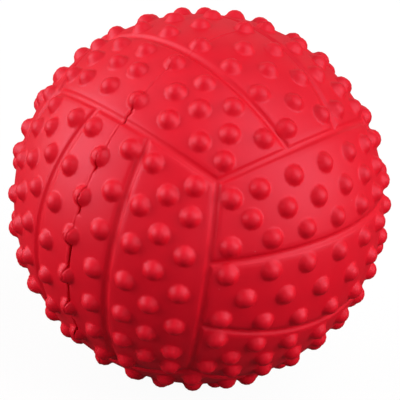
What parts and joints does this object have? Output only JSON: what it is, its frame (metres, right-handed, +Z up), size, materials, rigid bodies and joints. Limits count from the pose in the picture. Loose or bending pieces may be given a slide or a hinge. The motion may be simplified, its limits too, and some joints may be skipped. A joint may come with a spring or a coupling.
{
  "type": "squeaky dog ball",
  "caption": "Hollow red rubber ball with nubbed, grooved panels and a reed squeaker pressed through its wall; it flattens when squeezed and squeaks as it springs back.",
  "frame": {"origin": "the ball's centre, on the seam plane", "axes": "+X through the pole of the right half, square to the seam plane, so the squeaker's face looks along -X; +Z up; millimetres in the source, metres in the row"},
  "size_m": [0.0685, 0.07, 0.0696],
  "materials": {
    "red_rubber": "satin moulded natural rubber",
    "seam_rubber": "matt cured rubber cement",
    "white_plastic": "matt moulded polyethylene",
    "reed_brass": "rolled strip"
  },
  "bodies": {
    "left_half": {"left_half_shell": "red_rubber", "seam_bond": "seam_rubber", "squeaker_collar": "seam_rubber", "squeaker_barrel": "white_plastic", "reed_seat": "white_plastic", "reed_wedge": "white_plastic"},
    "right_half": {"right_half_shell": "red_rubber"},
    "reed": {"reed": "reed_brass"}
  },
  "joints": [
    {"name": "squeeze", "type": "slide", "parent": "left_half", "child": "right_half", "axis": [-1, 0, 0], "range_m": [0, 0.015], "stiffness_N_per_m": 3000, "deforming": ["left_half_shell", "right_half_shell", "seam_bond"]},
    {"name": "reed_flex", "type": "hinge", "parent": "left_half", "child": "reed", "pos_m": [-0.02591, 0, 0], "axis": [0, 1, 0], "range_deg": [-5, 2.4], "stiffness_Nm_per_rad": 0.0001, "deforming": ["reed"]}
  ]
}
